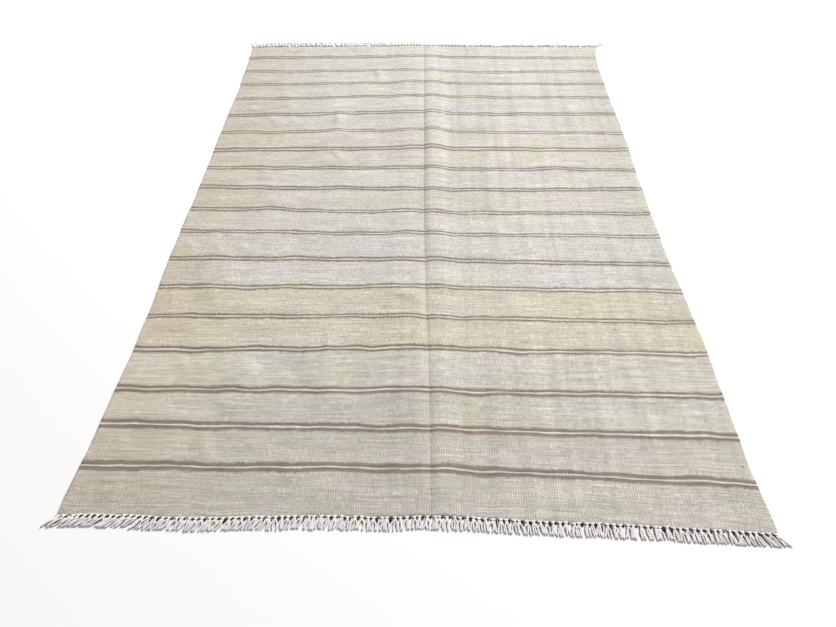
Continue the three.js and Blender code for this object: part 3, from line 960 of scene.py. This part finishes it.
def plied_cotton():
    """The fringes' material."""
    material = bpy.data.materials.new("undyed_plied_cotton")
    material.use_nodes = True
    tree = material.node_tree
    tree.nodes.clear()

    # Around and along a strand: the angle is counted from its top.
    turn = node(tree, "Attribute", attribute_name="turn").outputs["Vector"]
    turn = node(tree, "SeparateXYZ", {0: turn})
    beside, above, run = turn.outputs
    strand = node(tree, "Attribute", attribute_name="strand").outputs["Vector"]
    strand = node(tree, "SeparateXYZ", {0: strand})
    plies, turns, tint = strand.outputs
    angle = node(tree, "Math", {0: beside, 1: above}, operation="ARCTAN2")
    round_it = node(tree, "Math", {0: run, 1: turns}, operation="MULTIPLY")
    round_it = node(tree, "Math", {0: round_it, 1: 2 * math.pi, 2: angle}, operation="MULTIPLY_ADD")
    phase = node(tree, "Math", {0: round_it, 1: plies}, operation="MULTIPLY")
    ply = node(tree, "Math", {0: phase}, operation="COSINE")

    fibre_point = node(tree, "CombineXYZ", {0: run, 1: angle, 2: tint})
    fibre_point = node(tree, "VectorMath", {0: fibre_point, 1: (900.0, 4.0, 40.0)}, operation="MULTIPLY")
    fibres = node(tree, "TexNoise", {"Vector": fibre_point, "Scale": 1.0, "Detail": 3.0})

    colour = node(
        tree, "Mix", {0: tint, 6: (*linear("F4ECEF"), 1), 7: (*linear("F7F2EC"), 1)}, data_type="RGBA"
    ).outputs[2]
    # Painted shade in the grooves between the plies, and a slight painted highlight on their crowns.
    groove_shade = node(tree, "MapRange", {0: ply, 1: -1.0, 2: 0.0, 3: 0.86, 4: 1.04})
    # Painted shade: the sides and undersides of a strand are darker, deeply at the near end and slightly
    # on the far end's yarn.
    darkest = node(tree, "MapRange", {0: tint, 1: 1.5, 2: 2.0, 3: 0.07, 4: 0.85})
    underside_shade = node(tree, "MapRange", {0: above, 1: 0.0, 2: 0.6, 3: darkest, 4: 1.0})
    fleck = node(tree, "MapRange", {0: fibres, 1: 0.25, 2: 0.75, 3: 0.9, 4: 1.06})
    # A tint under -0.6 paints a strand darker, down to almost black: painted shade for the gaps between
    # the knots.
    gap_shade = node(tree, "MapRange", {0: tint, 1: -1.0, 2: -0.6, 3: 0.03, 4: 1.0})
    for part in (groove_shade, underside_shade, fleck, gap_shade):
        colour = node(tree, "VectorMath", {0: colour, 1: part}, operation="MULTIPLY")
    height = node(tree, "Math", {0: fibres, 1: FIBRE_HEIGHT}, operation="MULTIPLY")
    height = node(tree, "Math", {0: ply, 1: PLY_HEIGHT, 2: height}, operation="MULTIPLY_ADD")
    bump = node(tree, "Bump", {"Strength": 0.7, "Distance": 1.0, "Height": height})
    shader = node(
        tree,
        "BsdfPrincipled",
        {
            "Base Color": colour,
            "Roughness": 0.88,
            "Specular IOR Level": 0.25,
            "Sheen Weight": 0.15,
            "Normal": bump,
        },
    )
    node(tree, "OutputMaterial", {0: shader})
    return material


cotton = plied_cotton()
for end in ("near", "far"):
    piece = fringe(end)
    piece.data.materials.append(cotton)
    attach(piece, "root")
    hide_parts("fringe_" + end)

# Floor, light and camera
# A plain pale floor, a wide soft light from the far right, and pale light from all round. Places
# are in metres, but the camera's is in millimetres, as the cloth's own.

FLOOR_SIZE = 14.0
LIGHT_SIZE = 7.0
LIGHT_PLACE = (6.8, 8.8, 8.8)
LIGHT_AIM = (0.0, 0.0, 0.0)
LIGHT_POWER = 3120.0
SKY_STRENGTH = 0.28
CAMERA_PLACE = (16.6, -1913.4, 1518.9)
CAMERA_YAW = math.radians(0.905)
CAMERA_PITCH = math.radians(48.43)
CAMERA_ROLL = math.radians(-0.086)
CAMERA_LENS = 27.04
CAMERA_SENSOR = 36.0

half_floor = 0.5 * FLOOR_SIZE
floor_mesh = bpy.data.meshes.new("floor")
floor_mesh.from_pydata(
    [
        (-half_floor, -half_floor, 0),
        (half_floor, -half_floor, 0),
        (half_floor, half_floor, 0),
        (-half_floor, half_floor, 0),
    ],
    [],
    [(0, 1, 2, 3)],
)
floor = bpy.data.objects.new("floor", floor_mesh)
bpy.context.scene.collection.objects.link(floor)
floor_paint = bpy.data.materials.new("matt_white_floor")
floor_paint.use_nodes = True
floor_shader = floor_paint.node_tree.nodes["Principled BSDF"]
floor_shader.inputs["Base Color"].default_value = (0.96, 0.96, 0.96, 1)
floor_shader.inputs["Roughness"].default_value = 0.9
floor_shader.inputs["Specular IOR Level"].default_value = 0.1
floor_mesh.materials.append(floor_paint)

lamp_data = bpy.data.lights.new("window_light", "AREA")
lamp_data.shape = "SQUARE"
lamp_data.size = LIGHT_SIZE
lamp_data.energy = LIGHT_POWER
lamp_data.color = (1.0, 0.99, 0.98)
lamp = bpy.data.objects.new("window_light", lamp_data)
lamp.location = LIGHT_PLACE
lamp.rotation_mode = "QUATERNION"
lamp.rotation_quaternion = (Vector(LIGHT_AIM) - Vector(LIGHT_PLACE)).to_track_quat("-Z", "Y")
bpy.context.scene.collection.objects.link(lamp)

sky = bpy.data.worlds.new("studio")
sky.use_nodes = True
sky.node_tree.nodes["Background"].inputs["Color"].default_value = (1.0, 1.0, 1.0, 1)
sky.node_tree.nodes["Background"].inputs["Strength"].default_value = SKY_STRENGTH
bpy.context.scene.world = sky
bpy.context.scene.view_settings.view_transform = "Standard"

camera_data = bpy.data.cameras.new("camera")
camera_data.lens = CAMERA_LENS
camera_data.sensor_width = CAMERA_SENSOR
camera = bpy.data.objects.new("camera", camera_data)
bpy.context.scene.collection.objects.link(camera)
ahead = Vector(
    (
        -math.sin(CAMERA_YAW) * math.cos(CAMERA_PITCH),
        math.cos(CAMERA_YAW) * math.cos(CAMERA_PITCH),
        -math.sin(CAMERA_PITCH),
    )
)
level = Vector((math.cos(CAMERA_YAW), math.sin(CAMERA_YAW), 0))
down = ahead.cross(level)
right_way = math.cos(CAMERA_ROLL) * level + math.sin(CAMERA_ROLL) * down
down_way = math.cos(CAMERA_ROLL) * down - math.sin(CAMERA_ROLL) * level
turn = Matrix((right_way, -down_way, -ahead)).transposed().to_4x4()
camera.matrix_world = Matrix.Translation(Vector(CAMERA_PLACE + ORIGIN) * MM) @ turn
bpy.context.scene.camera = camera
